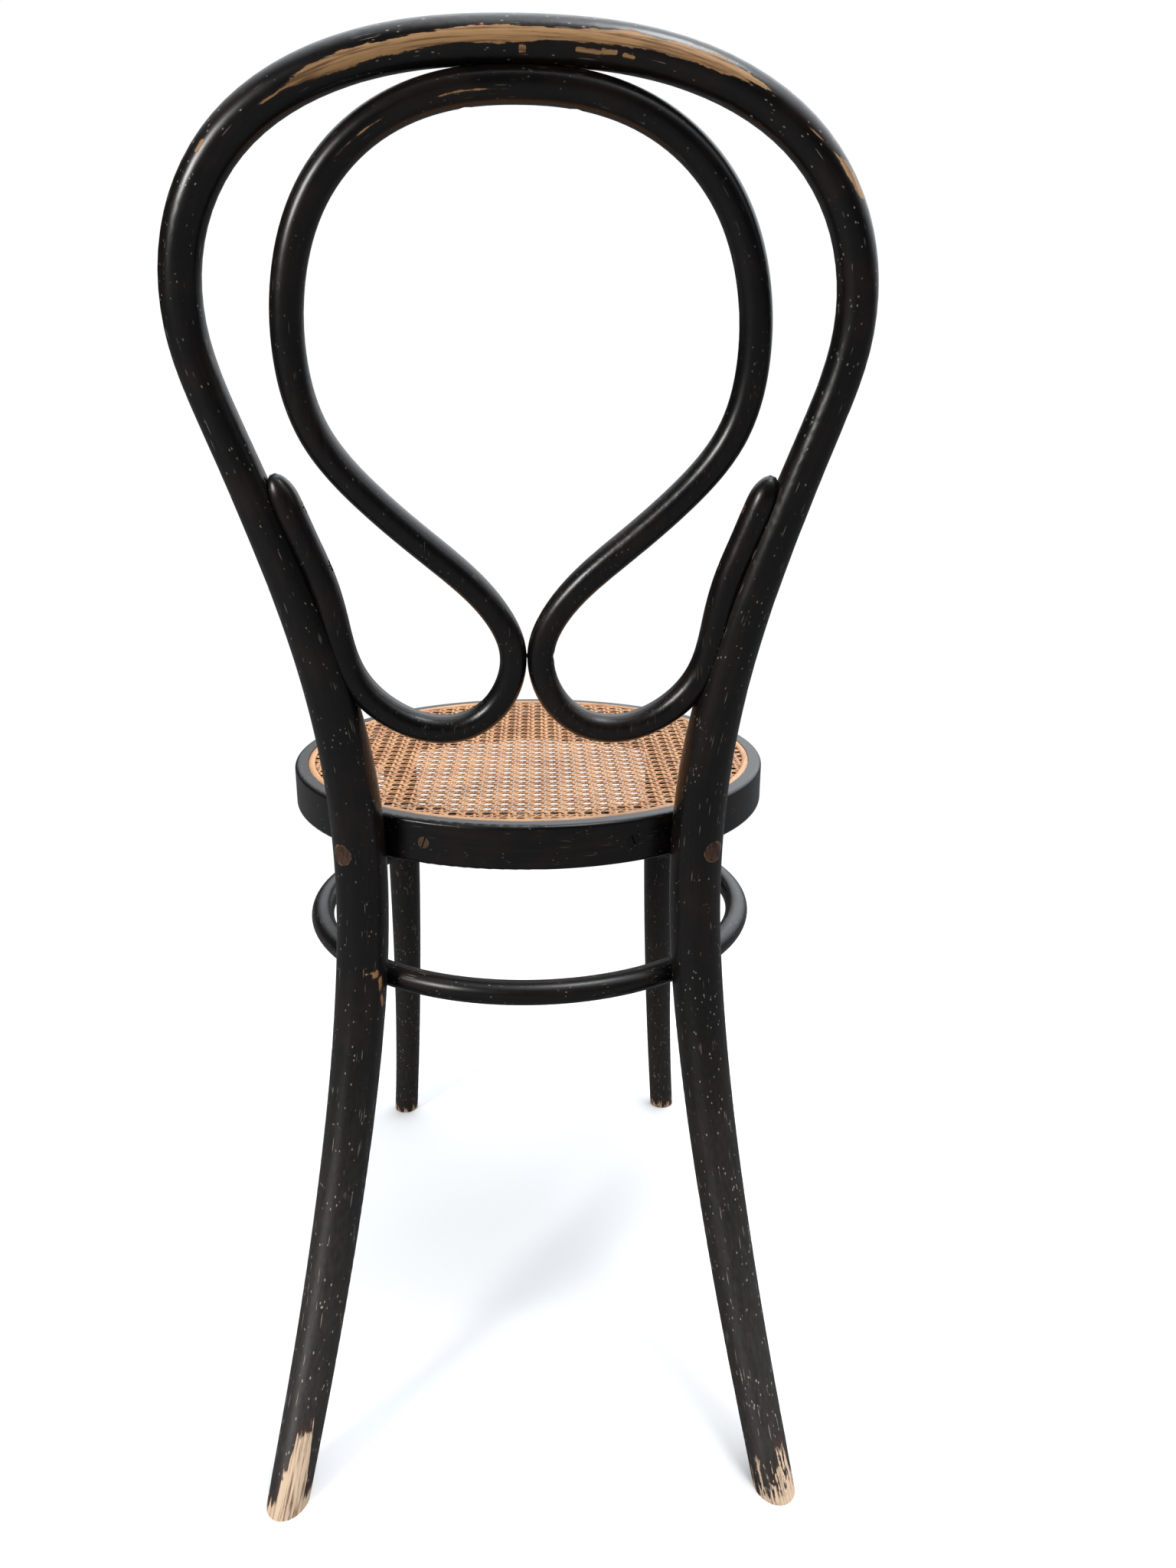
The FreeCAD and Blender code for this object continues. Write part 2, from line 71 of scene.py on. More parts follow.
def paint(red: int, green: int, blue: int) -> Colour:
    """A colour as it looks on a screen, turned into the linear light that shaders use.

    Args:
        red, green, blue: from 0 to 255.

    Returns:
        The colour's three linear parts, from 0 to 1.
    """
    channels = np.array([red, green, blue]) / 255.0
    linear = np.where(channels <= 0.04045, channels / 12.92, ((channels + 0.055) / 1.055) ** 2.4)
    return tuple(float(v) for v in linear)


class Field:
    """A number that varies over a surface. Expressions on it add Math nodes."""

    def __init__(self, nodes: Nodes, socket: Socket) -> None:
        """Keep the node tree and the socket that gives the number."""
        self.nodes = nodes
        self.socket = socket

    def _join(self, operation: str, *values: Operand) -> Field:
        """One Math node on some values."""
        settings = {"operation": operation}
        return self.nodes.field("ShaderNodeMath", settings, dict(enumerate(values)))

    def __add__(self, other: Operand) -> Field:
        """The sum."""
        return self._join("ADD", self, other)

    def __radd__(self, other: Operand) -> Field:
        """The sum, with the number first."""
        return self._join("ADD", other, self)

    def __sub__(self, other: Operand) -> Field:
        """The difference."""
        return self._join("SUBTRACT", self, other)

    def __rsub__(self, other: Operand) -> Field:
        """The difference, with the number first."""
        return self._join("SUBTRACT", other, self)

    def __mul__(self, other: Operand) -> Field:
        """The product."""
        return self._join("MULTIPLY", self, other)

    def __rmul__(self, other: Operand) -> Field:
        """The product, with the number first."""
        return self._join("MULTIPLY", other, self)

    def __truediv__(self, other: Operand) -> Field:
        """The quotient."""
        return self._join("DIVIDE", self, other)

    def __pow__(self, other: Operand) -> Field:
        """The power."""
        return self._join("POWER", self, other)

    def __abs__(self) -> Field:
        """The size without its sign."""
        return self._join("ABSOLUTE", self)

    def at_least(self, other: Operand) -> Field:
        """The larger of the two."""
        return self._join("MAXIMUM", self, other)

    def at_most(self, other: Operand) -> Field:
        """The smaller of the two."""
        return self._join("MINIMUM", self, other)

    def polynomial(self, coefficients: tuple[float, ...]) -> Field:
        """A polynomial of this number.

        Args:
            coefficients: of each power, lowest first.

        Returns:
            The polynomial's value.
        """
        total = self * coefficients[-1]
        for coefficient in coefficients[-2:0:-1]:
            total = (total + coefficient) * self
        return total + coefficients[0]

    def sign(self) -> Field:
        """Minus one, nought or one."""
        return self._join("SIGN", self)

    def turn_from(self, other: Operand) -> Field:
        """The angle whose tangent is this number over the other, all the way round."""
        return self._join("ARCTAN2", self, other)

    def rise(self, low: float, high: float) -> Field:
        """A smooth step.

        Args:
            low: where it is 0.
            high: where it is 1. It may lie below low.

        Returns:
            The step, from 0 to 1.
        """
        settings = {"interpolation_type": "SMOOTHSTEP"}
        if low < high:
            ends = {"From Min": low, "From Max": high, "To Min": 0.0, "To Max": 1.0}
        else:
            ends = {"From Min": high, "From Max": low, "To Min": 1.0, "To Max": 0.0}
        return self.nodes.field("ShaderNodeMapRange", settings, {"Value": self, **ends})

    def bump_at(self, middle: float, half: float, soft: float) -> Field:
        """1 within half of the middle, falling smoothly to 0 over the width soft."""
        return abs(self - middle).rise(half + soft, half)


Operand = Field | float


@dataclass(frozen=True)
class Noise:
    """A cloudy noise from 0 to 1, with most of it between 0.3 and 0.7.

    Attributes:
        scale: its clouds to a metre, or to a unit of its place.
        detail: how many finer and finer clouds are added.
        rough: how strong the finer ones are.
        stretch: what the way along the rod is multiplied by; under 1 the clouds grow along it.
    """

    scale: float
    detail: float = 2.0
    rough: float = 0.5
    stretch: float = 1.0


class Nodes:
    """A node tree that is built up by expressions."""

    def __init__(self, tree: bpy.types.NodeTree) -> None:
        """Start with an empty tree."""
        self.tree = tree
        self.tree.nodes.clear()

    def node(self, kind: str, settings: dict[str, object] | None = None,
             inputs: dict[int | str, object] | None = None) -> bpy.types.Node:
        """Add any node.

        Args:
            kind: the node's type.
            settings: its own properties, which are set first.
            inputs: a value, socket or Field for each of its sockets.

        Returns:
            The new node.
        """
        node = self.tree.nodes.new(kind)
        for key, value in (settings or {}).items():
            setattr(node, key, value)
        for key, value in (inputs or {}).items():
            socket = node.inputs[key]
            if isinstance(value, Field):
                self.tree.links.new(value.socket, socket)
            elif isinstance(value, Socket):
                self.tree.links.new(value, socket)
            elif isinstance(value, tuple) and socket.type == "RGBA":
                socket.default_value = (*value, 1.0)
            else:
                socket.default_value = value
        return node

    def field(self, kind: str, settings: dict[str, object], inputs: dict[int | str, object],
              output: int | str = 0) -> Field:
        """A number that a node gives."""
        return Field(self, self.node(kind, settings, inputs).outputs[output])

    def vector(self, x: Operand, y: Operand, z: Operand) -> Socket:
        """Three numbers as one vector."""
        return self.node("ShaderNodeCombineXYZ", {}, {0: x, 1: y, 2: z}).outputs[0]

    def parts(self, vector: Socket) -> tuple[Field, ...]:
        """The three numbers of a vector."""
        split = self.node("ShaderNodeSeparateXYZ", {}, {0: vector})
        return tuple(Field(self, out) for out in split.outputs)

    def stretched(self, place: Socket, stretch: float) -> Socket:
        """A place drawn out or pressed together along the rod.

        Args:
            place: the place, with the way along the rod last.
            stretch: what that way is multiplied by.

        Returns:
            The new place.
        """
        if stretch == 1.0:
            return place
        settings = {"operation": "MULTIPLY"}
        inputs = {0: place, 1: (1.0, 1.0, stretch)}
        return self.node("ShaderNodeVectorMath", settings, inputs).outputs[0]

    def noise(self, place: Socket, noise: Noise) -> Field:
        """A cloudy noise at a place."""
        inputs = {"Vector": self.stretched(place, noise.stretch), "Scale": noise.scale,
                  "Detail": noise.detail, "Roughness": noise.rough}
        return self.field("ShaderNodeTexNoise", {}, inputs)

    def cells(self, place: Socket, scale: float, stretch: float) -> Field:
        """Distance to the nearest of many scattered points, drawn out along the rod."""
        inputs = {"Vector": self.stretched(place, stretch), "Scale": scale}
        return self.field("ShaderNodeTexVoronoi", {}, inputs, "Distance")

    def blend(self, mask: Operand, under: Colour | Socket, over: Colour | Socket) -> Socket:
        """One colour laid over another where the mask is 1."""
        settings = {"data_type": "RGBA", "blend_type": "MIX"}
        return self.node("ShaderNodeMix", settings, {0: mask, 6: under, 7: over}).outputs[2]


class Shader(Nodes):
    """A material that is built up by expressions."""

    def __init__(self, name: str) -> None:
        """Start a material that knows the place on the object."""
        self.material = bpy.data.materials.new(name)
        self.material.use_nodes = True
        super().__init__(self.material.node_tree)
        self.place = self.node("ShaderNodeTexCoord").outputs["Object"]
        self.x, self.y, self.z = self.parts(self.place)

    def facing(self) -> tuple[Field, ...]:
        """Which way the surface faces, as the three numbers of its normal."""
        return self.parts(self.node("ShaderNodeNewGeometry").outputs["Normal"])

    def bump(self, height: Field, depth: float) -> Socket:
        """A normal that follows a height, whose full rise is depth metres."""
        return self.node("ShaderNodeBump", {}, {"Height": height, "Distance": depth}).outputs[0]

    def finish(self, inputs: dict[str, object]) -> bpy.types.Material:
        """Close the material with one surface shader."""
        surface = self.node("ShaderNodeBsdfPrincipled", {}, inputs)
        self.node("ShaderNodeOutputMaterial", {}, {"Surface": surface.outputs[0]})
        return self.material


@dataclass(frozen=True)
class BentLine:
    """Middle line of a rod bent over the top of the back, whose two sides come down to the seat.

    The crown is a rounded box curve: the powers of the shares of its half width and of its rise
    add up to 1. Below it the sides follow polynomials of the height.

    Attributes:
        start: height where the crown begins, in metres.
        half_width: half the crown's width there.
        rise: from there up to the top of the middle line.
        power: how boxy the curve is; 2 is an ellipse.
        lean: how much further back the crown lies for each metre up.
        arc: metres along the crown for each radian of its angle, about.
        sideways: coefficients of the sides' distance from the chair's middle, lowest first.
        depth: coefficients of the sides' place front to back, lowest first.
    """

    start: float
    half_width: float
    rise: float
    power: float
    lean: float = 0.1464
    arc: float = 0.18
    sideways: tuple[float, ...] = ()
    depth: tuple[float, ...] = ()

    def low_part(self, s: Shader) -> Field:
        """The height, and above the crown's start that start's height."""
        return s.z.at_most(self.start)

    def shares(self, s: Shader) -> tuple[Field, Field]:
        """How far over and up the crown a place is, as shares of its half width and its rise."""
        return abs(s.x) / self.half_width, (s.z - self.start).at_least(0.0) / self.rise

    def round_angle(self, s: Shader) -> Field:
        """Place along the crown in degrees: 0 at the top, 90 at +X and -90 at -X."""
        over, up = self.shares(s)
        return (over * s.x.sign()).turn_from(up) * DEGREES

    def facing_angle(self, s: Shader) -> Field:
        """Which way the rod's surface faces, in degrees.

        Args:
            s: the material being built.

        Returns:
            0 for straight back and 90 for out of the crown.
        """
        over, up = self.shares(s)
        side = over ** (self.power - 1.0) / self.half_width
        top = up ** (self.power - 1.0) / self.rise
        length = (side * side + top * top) ** 0.5
        turn = math.atan(self.lean)
        facing_x, facing_y, facing_z = s.facing()
        rear = facing_y * math.cos(turn) - facing_z * math.sin(turn)
        upward = facing_z * math.cos(turn) + facing_y * math.sin(turn)
        outward = (facing_x * s.x.sign() * side + upward * top) / length
        return outward.turn_from(rear) * DEGREES

    def place(self, s: Shader) -> Socket:
        """The place on the rod.

        Args:
            s: the material being built.

        Returns:
            Two ways across the rod and one way along it, in metres.
        """
        low = self.low_part(s)
        over, up = self.shares(s)
        boxed = (over ** self.power + up ** self.power) ** (1.0 / self.power)
        across = boxed * self.half_width
        deep = s.y - (s.z - low) * self.lean
        if self.sideways:
            across = across - low.polynomial(self.sideways)
            deep = deep - low.polynomial(self.depth)
        run = self.round_angle(s) * (self.arc / DEGREES) + s.x.sign() * (self.start - low)
        return s.vector(across, deep, run)


HOOP_LINE = BentLine(start=0.80, half_width=0.205, rise=0.1465, power=2.38,
                     sideways=(0.1767, -0.2531, 0.8642, -3.1845, 5.8138, -3.2698),
                     depth=(0.2612, -0.6606, -0.275, 4.1395, -5.3911, 2.0968))
LOOP_LINE = BentLine(start=0.786, half_width=0.1435, rise=0.1393, power=2.3)


class GrainWay(Enum):
    """Which way a piece of wood was bent, and so which way its grain runs."""

    CROWN = "over the top, then down both sides"
    ROUND_SEAT = "round the seat's axis"
    UPRIGHT = "up and down"


@dataclass(frozen=True)
class WearPatch:
    """A worn place, as a rounded spot of the chair.

    Attributes:
        middle: the spot's middle, in metres.
        half: half its size each way, in metres.
        amount: how far out from its middle it is bare, as a share of half.
    """

    middle: Triple
    half: Triple
    amount: float


@dataclass(frozen=True)
class WornStroke:
    """A worn stroke along the crown of a bent rod, in degrees.

    Attributes:
        middle, half: its middle and half its length, along the crown.
        facing, half_facing: its middle and half its width, round the rod.
        drift: change of facing for each degree along the crown.
        ragged: how uneven its edges are, in degrees.
        fade: how far the wear falls short of bare wood; above 1 only a brown shine is left.
    """

    middle: float
    half: float
    facing: float
    half_facing: float
    drift: float = 0.0
    ragged: float = 1.0
    fade: float = 0.0


@dataclass(frozen=True)
class WornFoot:
    """A rear foot rubbed down to bare wood.

    Attributes:
        side: 1 for the foot at +X, -1 for the other.
        height: how far up the bare wood goes all round, in metres.
        steps: middle and half width of each strip across the leg, from -1 inside to 1 outside,
            and how much further up the bare wood goes there, in metres.
        patchy: how broken up the bare wood is, from 0 to 1.
    """

    side: int
    height: float
    steps: tuple[Triple, ...]
    patchy: float


@dataclass(frozen=True)
class Ebonised:
    """Bent beech stained black and polished, worn through to bare wood in places.

    A worn place is a margin: above 0 it is bare, and a little below 0 it is brown.

    Attributes:
        way: the grain's direction.
        line: the rod's middle line, for the way over the crown.
        seat_y: depth of the seat's axis, for the way round it.
        strokes: worn strokes along the crown.
        feet: the worn rear feet.
        scuffs: how many scratches and specks there are, from 0 to 1.
        patches: further worn places.
    """

    way: GrainWay
    line: BentLine | None = None
    seat_y: float = 0.0
    strokes: tuple[WornStroke, ...] = ()
    feet: tuple[WornFoot, ...] = ()
    scuffs: float = 0.5
    patches: tuple[WearPatch, ...] = ()

    BLACK = paint(13, 12, 12)
    BROWN = paint(33, 23, 19)
    RED_BROWN = paint(84, 52, 36)
    DUST = paint(84, 80, 76)
    BARE = paint(200, 154, 104)
    BARE_DARK = paint(126, 90, 58)
    PALE = paint(244, 212, 180)
    PALE_DARK = paint(122, 94, 72)
    CHIP = paint(182, 172, 156)
    STREAKS = Noise(260.0, detail=4.0, rough=0.6, stretch=0.05)
    CLOUDS = Noise(22.0, detail=3.0, rough=0.6)
    MOTTLE = Noise(420.0, stretch=0.4)
    PORES = Noise(620.0, detail=3.0, rough=0.65, stretch=0.04)
    TONES = Noise(150.0, detail=3.0, rough=0.6, stretch=0.2)
    RAGGED_EDGE = Noise(240.0, detail=5.0, rough=0.65, stretch=0.22)
    BROAD_EDGE = Noise(60.0, stretch=0.4)
    SCRATCH_GROUPS = Noise(60.0)
    SPECK_GROUPS = Noise(80.0)
    SCRATCH_CELLS = (560.0, 0.06)
    SPECK_CELLS = (330.0, 0.6)
    # Heights, in metres, between which each of these grows towards the floor.
    DUSTY = (0.42, 0.04)
    DULL = (0.42, 0.05)
    SCUFFED = (0.45, 0.08)
    SCRAPED = (0.30, 0.10)
    RELIEF = 0.0002
    RING_ARC = 0.2
    HALF_FOOT = 0.0150
    # Worth of the noises, of a stroke's end and of its fade in a stroke's margin.
    RAGGED_DEGREES = 40.0
    BROAD_DEGREES = 26.0
    END_DEGREES = 14.0
    FADE_DEGREES = 3.0
    # Margin to a metre on a foot, to the half size of a patch, and where nothing is worn.
    FOOT_STEEP = 400.0
    PATCH_STEEP = 6.0
    FAR = 400.0

    def along(self, s: Shader) -> Socket:
        """The place on the piece, by the way its grain runs.

        Args:
            s: the material being built.

        Returns:
            Two ways across the grain and one way along it, in metres.
        """
        if self.way is GrainWay.CROWN:
            return self.line.place(s)
        if self.way is GrainWay.ROUND_SEAT:
            depth = s.y - self.seat_y
            radius = (s.x * s.x + depth * depth) ** 0.5
            return s.vector(radius, s.z, s.x.turn_from(depth) * self.RING_ARC)
        return s.place

    def stroke_margin(self, stroke: WornStroke, over: Field, facing: Field, ragged: Field,
                      broad: Field) -> Field:
        """Margin of a stroke along the crown.

        Args:
            stroke: the stroke.
            over: place along the crown, in degrees.
            facing: way round the rod, in degrees.
            ragged, broad: fine and broad unevenness.

        Returns:
            The margin, in degrees.
        """
        off = over - stroke.middle
        beyond = abs(off).rise(stroke.half * 0.7, stroke.half * 1.15)
        rough = (ragged - 0.5) * self.RAGGED_DEGREES + (broad - 0.5) * self.BROAD_DEGREES
        middle = stroke.facing + off * stroke.drift
        end = stroke.half_facing + self.END_DEGREES * stroke.ragged
        width = stroke.half_facing - beyond * end
        lost = stroke.fade * self.FADE_DEGREES
        return width - abs(facing - middle) + rough * stroke.ragged - lost

    def foot_margin(self, s: Shader, foot: WornFoot, ragged: Field, broad: Field) -> Field:
        """Margin of a rear foot, which the bare wood climbs further in strips.

        Args:
            s: the material being built.
            foot: the foot.
            ragged, broad: fine and broad unevenness.

        Returns:
            The margin, which is far below 0 on the other foot.
        """
        across = (abs(s.x) - s.z.polynomial(HOOP_LINE.sideways)) / self.HALF_FOOT
        wobble = across + (broad - 0.5) * 0.8
        top = foot.height + (ragged - 0.5) * 0.020 + (broad - 0.5) * 0.014
        for middle, half, rise in foot.steps:
            top = top + wobble.bump_at(middle, half, 0.10) * rise
        gaps = (ragged * 0.6 + broad * 0.4).rise(0.46, 0.54) * foot.patchy * 0.03
        other_side = (s.x * foot.side).rise(0.01, -0.01)
        return (top - s.z - gaps) * self.FOOT_STEEP - other_side * self.FAR

    def patch_margin(self, s: Shader, patch: WearPatch, ragged: Field, broad: Field) -> Field:
        """Margin of a worn spot.

        Args:
            s: the material being built.
            patch: the spot.
            ragged, broad: fine and broad unevenness.

        Returns:
            The margin.
        """
        x, y, z = ((value - middle) / half
                   for value, middle, half in zip((s.x, s.y, s.z), patch.middle, patch.half))
        away = (x * x + y * y + z * z) ** 0.5
        uneven = (ragged - 0.5) * 3.2 + (broad - 0.5) * 1.0
        return (patch.amount - away + uneven) * self.PATCH_STEEP

    def bare_margin(self, s: Shader, along: Socket) -> Field | None:
        """The greatest margin of all worn places.

        Args:
            s: the material being built.
            along: the place on the piece.

        Returns:
            The margin, or None where nothing is worn.
        """
        if not (self.patches or self.feet or self.strokes):
            return None
        ragged = s.noise(along, self.RAGGED_EDGE)
        broad = s.noise(along, self.BROAD_EDGE)
        margins = [self.patch_margin(s, patch, ragged, broad) for patch in self.patches]
        margins += [self.foot_margin(s, foot, ragged, broad) for foot in self.feet]
        if self.strokes:
            over = self.line.round_angle(s)
            below = s.z.rise(self.line.start + 0.03, self.line.start)
            facing = self.line.facing_angle(s) + below * self.FAR
            margins += [self.stroke_margin(stroke, over, facing, ragged, broad)
                        for stroke in self.strokes]
        return reduce(Field.at_least, margins)

    def scratches(self, s: Shader, along: Socket) -> Field:
        """Fine pale scratches along the rod and small specks, thicker towards the floor.

        Args:
            s: the material being built.
            along: the place on the piece.

        Returns:
            Their strength, from 0 to 1.
        """
        low = 0.35 + 0.65 * s.z.rise(*self.SCUFFED)
        groups = (s.noise(along, self.SCRATCH_GROUPS) + low * 0.07).rise(0.54, 0.60)
        lines = s.cells(along, *self.SCRATCH_CELLS).rise(0.22, 0.10) * groups
        groups = (s.noise(along, self.SPECK_GROUPS) + low * 0.06).rise(0.54, 0.59)
        specks = s.cells(along, *self.SPECK_CELLS).rise(0.21, 0.12) * groups
        return (lines * 0.75 + specks).at_most(1.0) * (0.45 + 0.55 * low) * self.scuffs

    def bare_wood(self, s: Shader, along: Socket, pore: Field) -> Socket:
        """The bare wood: handled and golden above, scraped and pale near the floor.

        Args:
            s: the material being built.
            along: the place on the piece.
            pore: the wood's pores.

        Returns:
            The colour.
        """
        clean = (pore * 0.65 + s.noise(along, self.TONES) * 0.35).rise(0.36, 0.54)
        handled = s.blend(clean, self.BARE_DARK, self.BARE)
        scraped = s.blend(clean, self.PALE_DARK, self.PALE)
        return s.blend(s.z.rise(*self.SCRAPED), handled, scraped)

    def make(self, name: str) -> bpy.types.Material:
        """Build the material.

        Args:
            name: the material's name.

        Returns:
            The finished material.
        """
        s = Shader(name)
        along = self.along(s)
        streak = s.noise(along, self.STREAKS)
        cloud = s.noise(along, self.CLOUDS)
        mottle = s.noise(along, self.MOTTLE)
        scratch = self.scratches(s, along)
        brown = (cloud * 0.6 + streak * 0.4).rise(0.43, 0.66)
        colour = s.blend(brown, self.BLACK, self.BROWN)
        dusty = s.z.rise(*self.DUSTY) * (0.10 + 0.55 * mottle) + 0.05 * mottle
        colour = s.blend(dusty * self.scuffs, colour, self.DUST)
        colour = s.blend(scratch, colour, self.CHIP)
        rough = (0.17 + 0.14 * cloud + 0.08 * streak + 0.12 * scratch
                 + 0.20 * s.z.rise(*self.DULL))
        height = streak * 0.14 + mottle * 0.06 - scratch * 0.3
        margin = self.bare_margin(s, along)
        if margin is not None:
            bare = margin.rise(-0.6, 0.9)
            brown_edge = margin.rise(-4.5, 0.5)
            pore = s.noise(along, self.PORES)
            colour = s.blend(brown_edge * 0.55, colour, self.RED_BROWN)
            colour = s.blend(bare, colour, self.bare_wood(s, along, pore))
            rough = rough + 0.28 * bare
            height = height + pore * bare * 0.5 - bare * 0.6
        return s.finish({"Base Color": colour, "Roughness": rough.at_most(0.8),
                         "Specular IOR Level": 0.5, "Normal": s.bump(height, self.RELIEF)})


@dataclass(frozen=True)
class CaneFinish:
    """Varnished natural cane or reed, with fine streaks along each strand."""

    light: Colour = paint(210, 154, 100)
    dark: Colour = paint(158, 98, 54)
    stain: Colour = paint(120, 70, 38)

    FIBRES = Noise(3.0, detail=4.0, rough=0.6)
    STRANDS = Noise(2.0, detail=1.0)
    CLOUDS = Noise(26.0, detail=3.0, rough=0.6)
    REED_ARC = 0.19
    REED_WIDTHS = 250.0
    RELIEF = 0.00012

    def make(self, name: str, round_seat: float | None = None) -> bpy.types.Material:
        """Build the material.

        Args:
            name: the material's name.
            round_seat: depth of the seat's axis, where the grain runs round it. Without it the
                grain runs along the strands' own map.

        Returns:
            The finished material.
        """
        s = Shader(name)
        if round_seat is None:
            own_map = s.node("ShaderNodeUVMap", {"uv_map": STRAND_MAP}).outputs[0]
            run, across = s.parts(own_map)[:2]
        else:
            depth = s.y - round_seat
            run = s.x.turn_from(depth) * self.REED_ARC
            across = (s.x * s.x + depth * depth) ** 0.5 * self.REED_WIDTHS
        fibre = s.noise(s.vector(run * 40.0, across * 3.0, 0.0), self.FIBRES)
        strand = s.noise(s.vector(run * 3.0, across * 0.37, 3.0), self.STRANDS)
        cloud = s.noise(s.place, self.CLOUDS)
        mix = fibre * 0.45 + strand * 0.35 + cloud * 0.35
        colour = s.blend(mix.rise(0.44, 0.68), self.dark, self.light)
        aged = (strand * 0.5 + cloud * 0.5).rise(0.60, 0.74) * 0.55
        colour = s.blend(aged, colour, self.stain)
        return s.finish({"Base Color": colour, "Roughness": 0.30 + 0.2 * fibre,
                         "Normal": s.bump(fibre, self.RELIEF)})


@dataclass(frozen=True)
class OldSteel:
    """Browned steel of old screws and bolts.

    Attributes:
        steel, rust: its two colours.
        painted_side: 1 or -1 for the side of X whose screws are painted over, 0 for none.
    """

    steel: Colour = paint(124, 104, 84)
    rust: Colour = paint(84, 50, 30)
    painted_side: int = 0

    CLOUDS = Noise(420.0, detail=4.0, rough=0.6)
    RELIEF = 0.0001

    def make(self, name: str) -> bpy.types.Material:
        """Build the material.

        Args:
            name: the material's name.

        Returns:
            The finished material.
        """
        s = Shader(name)
        cloud = s.noise(s.place, self.CLOUDS)
        rusty = cloud.rise(0.42, 0.60)
        colour = s.blend(rusty, self.steel, self.rust)
        metal = 0.85 - 0.75 * rusty
        if self.painted_side:
            bare = (s.x * self.painted_side).rise(0.01, -0.01)
            colour = s.blend(bare, Ebonised.BLACK, colour)
            metal = metal * bare
        return s.finish({"Base Color": colour, "Metallic": metal,
                         "Roughness": 0.42 + 0.3 * rusty, "Normal": s.bump(cloud, self.RELIEF)})


@dataclass(frozen=True)
class PlugWood:
    """Red-brown wood plugs, with upright grain and a chipped rim."""

    light: Colour = paint(98, 68, 52)
    dark: Colour = paint(56, 40, 32)
    rim: Colour = paint(150, 118, 90)

    GRAIN = Noise(700.0, detail=4.0, rough=0.6, stretch=0.12)
    CHIPS = Noise(300.0)
    RELIEF = 0.0003

    def make(self, name: str, centre: tuple[float, float], radius: float) -> bpy.types.Material:
        """Build the material.

        Args:
            name: the material's name.
            centre: sideways distance and height of the plugs' middle, in metres.
            radius: the plugs' radius, in metres.

        Returns:
            The finished material.
        """
        s = Shader(name)
        grain = s.noise(s.place, self.GRAIN)
        colour = s.blend(grain.rise(0.38, 0.62), self.dark, self.light)
        side = (abs(s.x) - centre[0]) / math.cos(PLUG_TURN)
        height = s.z - centre[1]
        out = (side * side + height * height) ** 0.5 / radius
        chipped = out.rise(0.84, 0.95) * s.noise(s.place, self.CHIPS).rise(0.46, 0.56)
        colour = s.blend(chipped * 0.8, colour, self.rim)
        return s.finish({"Base Color": colour, "Roughness": 0.42 + 0.2 * grain,
                         "Normal": s.bump(grain, self.RELIEF)})


def mesh_piece(name: str, points: np.ndarray, faces: np.ndarray,
               maps: np.ndarray | None = None) -> bpy.types.Object:
    """Make a smooth-shaded object of quads.

    Args:
        name: the object's name.
        points: corner places, one row each, in metres.
        faces: four corner numbers to a row.
        maps: two coordinates of the strand map for each corner of each face, or None.

    Returns:
        The object, at the origin and linked to the scene.
    """
    mesh = bpy.data.meshes.new(name)
    mesh.vertices.add(len(points))
    mesh.vertices.foreach_set("co", points.astype(np.float32).ravel())
    mesh.loops.add(faces.size)
    mesh.loops.foreach_set("vertex_index", faces.astype(np.int32).ravel())
    mesh.polygons.add(len(faces))
    mesh.polygons.foreach_set("loop_start", np.arange(0, faces.size, 4, dtype=np.int32))
    mesh.update(calc_edges=True)
    mesh.polygons.foreach_set("use_smooth", np.ones(len(faces), dtype=bool))
    if maps is not None:
        layer = mesh.uv_layers.new(name=STRAND_MAP)
        layer.data.foreach_set("uv", maps.astype(np.float32).ravel())
    mesh.validate()
    piece = bpy.data.objects.new(name, mesh)
    bpy.context.scene.collection.objects.link(piece)
    return piece


class Strands(Enum):
    """The four families of strands in six-way cane."""

    LENGTHWISE = "cane_lengthwise"
    CROSSWISE = "cane_crosswise"
    RIGHT_SLANT = "cane_right_slant"
    LEFT_SLANT = "cane_left_slant"


